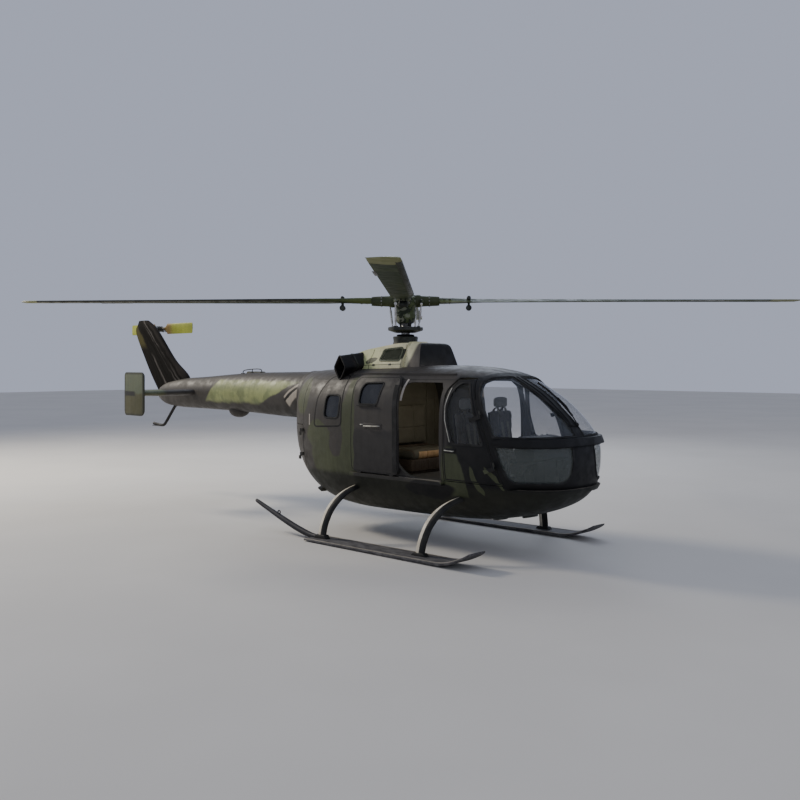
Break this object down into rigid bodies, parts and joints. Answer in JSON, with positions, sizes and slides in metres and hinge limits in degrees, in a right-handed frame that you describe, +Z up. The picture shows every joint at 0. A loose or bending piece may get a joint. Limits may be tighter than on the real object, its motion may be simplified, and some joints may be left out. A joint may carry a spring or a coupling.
{
  "type": "light utility helicopter",
  "caption": "Egg-shaped cabin pod on skids with a high tail boom, rigid main rotor, tail rotor, hinged front doors, sliding cabin doors and rear cargo doors.",
  "frame": {"origin": "on the ground, under the middle of the whole helicopter's bounding box", "axes": "+X forward along the cabin to the nose, +Y to port, +Z up"},
  "size_m": [10.8283, 7.5706, 3.04],
  "materials": {
    "hull_paint": "matt dark olive paint",
    "camouflage_paint": "matt camouflage paint in brown-grey, grey-green and black",
    "black_paint": "satin black paint",
    "pale_paint": "weathered pale yellow-green paint",
    "glazing": "clear glazing",
    "bare_metal": "dull oiled metal",
    "exhaust_metal": "heat-darkened metal",
    "skid_paint": "worn dark grey paint",
    "rotor_paint": "matt dark green paint",
    "trim_plastic": "grained dark trim",
    "cushion_fabric": "woven grey cloth",
    "bench_leather": "tan leather"
  },
  "bodies": {
    "airframe": {"lower_hull": "hull_paint", "roof_shell": "camouflage_paint", "side_wall_starboard": "camouflage_paint", "side_wall_port": "camouflage_paint", "rear_shell": "camouflage_paint", "nose_frame": "black_paint", "windscreen_starboard": "glazing", "windscreen_port": "glazing", "chin_window_starboard": "glazing", "chin_window_port": "glazing", "quarter_window_starboard": "glazing", "quarter_window_port": "glazing", "gearbox_fairing": "black_paint", "engine_cowling": "pale_paint", "engine_block": "bare_metal", "main_gearbox": "bare_metal", "mast_collar": "bare_metal", "exhaust_starboard": "exhaust_metal", "exhaust_port": "exhaust_metal", "tail_boom": "camouflage_paint", "fin": "camouflage_paint", "stabiliser": "camouflage_paint", "tail_gearbox": "bare_metal", "tail_bumper": "skid_paint", "cross_tube_front": "skid_paint", "cross_tube_rear": "skid_paint", "runner_starboard": "skid_paint", "runner_port": "skid_paint", "wear_plate_starboard": "bare_metal", "wear_plate_port": "bare_metal", "cabin_bulkhead": "hull_paint", "front_seat_starboard": "trim_plastic", "front_seat_port": "trim_plastic", "seat_cushion_starboard": "cushion_fabric", "seat_cushion_port": "cushion_fabric", "seat_back_starboard": "cushion_fabric", "seat_back_port": "cushion_fabric", "rear_bench": "trim_plastic", "rear_bench_cushion": "bench_leather", "rear_bench_back": "cushion_fabric", "instrument_panel": "trim_plastic"},
    "main_rotor": {"rotor_mast": "bare_metal", "rotor_hub": "rotor_paint", "swashplate": "bare_metal", "rotor_blade_1": "rotor_paint", "rotor_blade_2": "rotor_paint", "rotor_blade_3": "rotor_paint", "rotor_blade_4": "rotor_paint"},
    "anti_torque_rotor": {"tail_rotor": "rotor_paint"},
    "crew_door_starboard": {"front_door_starboard": "camouflage_paint", "front_door_window_starboard": "glazing"},
    "crew_door_port": {"front_door_port": "camouflage_paint", "front_door_window_port": "glazing"},
    "cabin_door_starboard": {"sliding_door_starboard": "camouflage_paint", "sliding_door_window_starboard": "glazing"},
    "cabin_door_port": {"sliding_door_port": "camouflage_paint", "sliding_door_window_port": "glazing"},
    "cargo_door_starboard": {"rear_door_starboard": "camouflage_paint"},
    "cargo_door_port": {"rear_door_port": "camouflage_paint"}
  },
  "joints": [
    {"name": "main_rotor_spin", "type": "hinge", "parent": "airframe", "child": "main_rotor", "pos_m": [1.628, 0, 2.92], "axis": [0, 0, 1], "continuous": true},
    {"name": "tail_rotor_spin", "type": "hinge", "parent": "airframe", "child": "anti_torque_rotor", "pos_m": [-4.465, 0.285, 2.73], "axis": [0, 1, 0], "continuous": true},
    {"name": "crew_door_starboard_hinge", "type": "hinge", "parent": "airframe", "child": "crew_door_starboard", "pos_m": [3.715, -0.785, 0.8], "axis": [-0.3327, 0, 0.943], "range_deg": [0, 75]},
    {"name": "crew_door_port_hinge", "type": "hinge", "parent": "airframe", "child": "crew_door_port", "pos_m": [3.715, 0.785, 0.8], "axis": [0.3327, 0, -0.943], "range_deg": [0, 75]},
    {"name": "cabin_door_starboard_slide", "type": "slide", "parent": "airframe", "child": "cabin_door_starboard", "axis": [1, 0, 0], "range_m": [0, 0.65]},
    {"name": "cabin_door_port_slide", "type": "slide", "parent": "airframe", "child": "cabin_door_port", "axis": [1, 0, 0], "range_m": [0, 0.65]},
    {"name": "cargo_door_starboard_hinge", "type": "hinge", "parent": "airframe", "child": "cargo_door_starboard", "pos_m": [0.41, -0.7, 1.06], "axis": [0, 0, 1], "range_deg": [0, 110]},
    {"name": "cargo_door_port_hinge", "type": "hinge", "parent": "airframe", "child": "cargo_door_port", "pos_m": [0.41, 0.7, 1.06], "axis": [0, 0, -1], "range_deg": [0, 110]}
  ]
}
